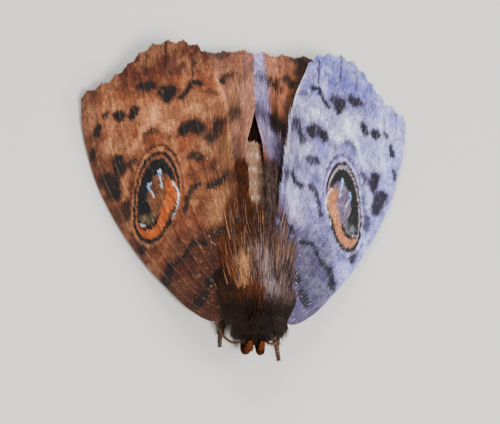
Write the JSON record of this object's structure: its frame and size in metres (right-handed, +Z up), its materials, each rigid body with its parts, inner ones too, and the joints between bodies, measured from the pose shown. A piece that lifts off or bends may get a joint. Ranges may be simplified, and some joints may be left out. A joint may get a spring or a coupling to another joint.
{
  "type": "owl moth",
  "caption": "Life-size resting moth with wings swept back in a low tent, furry body and a large eyespot on each forewing.",
  "frame": {"origin": "on the floor, under the middle of the moth's box", "axes": "+Z up from the floor, the head towards -Y, the moth's own left side at +X"},
  "size_m": [0.0598, 0.055, 0.0128],
  "materials": {
    "forewing_right": "velvety overlapping scales, warm brown with dark marks and a large eyespot",
    "forewing_left": "velvety overlapping scales, lilac grey with dark marks and a large eyespot",
    "hindwing_right": "velvety scales and long inner hair, brown",
    "hindwing_left": "velvety scales and long inner hair, lilac and brown folds",
    "thorax_coat": "long soft hair scales, rust brown to grey with black bands",
    "head_coat": "close dark brown hair",
    "abdomen_coat": "thin hair over tan rings",
    "eye": "glossy dark compound eye",
    "palp": "close orange brown hair",
    "tongue": "smooth brown",
    "antenna": "finely ringed brown thread",
    "leg": "brown scales with pale rings"
  },
  "bodies": {
    "root": {"forewing_left": "forewing_left", "forewing_right": "forewing_right", "hindwing_left": "hindwing_left", "hindwing_right": "hindwing_right", "head": "head_coat", "eye_left": "eye", "eye_right": "eye", "thorax": "thorax_coat", "abdomen": "abdomen_coat", "antenna_left": "antenna", "antenna_right": "antenna", "palp_left": "palp", "palp_right": "palp", "proboscis": "tongue", "leg_front_left": "leg", "leg_front_right": "leg", "leg_middle_left": "leg", "leg_middle_right": "leg", "leg_hind_left": "leg", "leg_hind_right": "leg"}
  },
  "joints": []
}
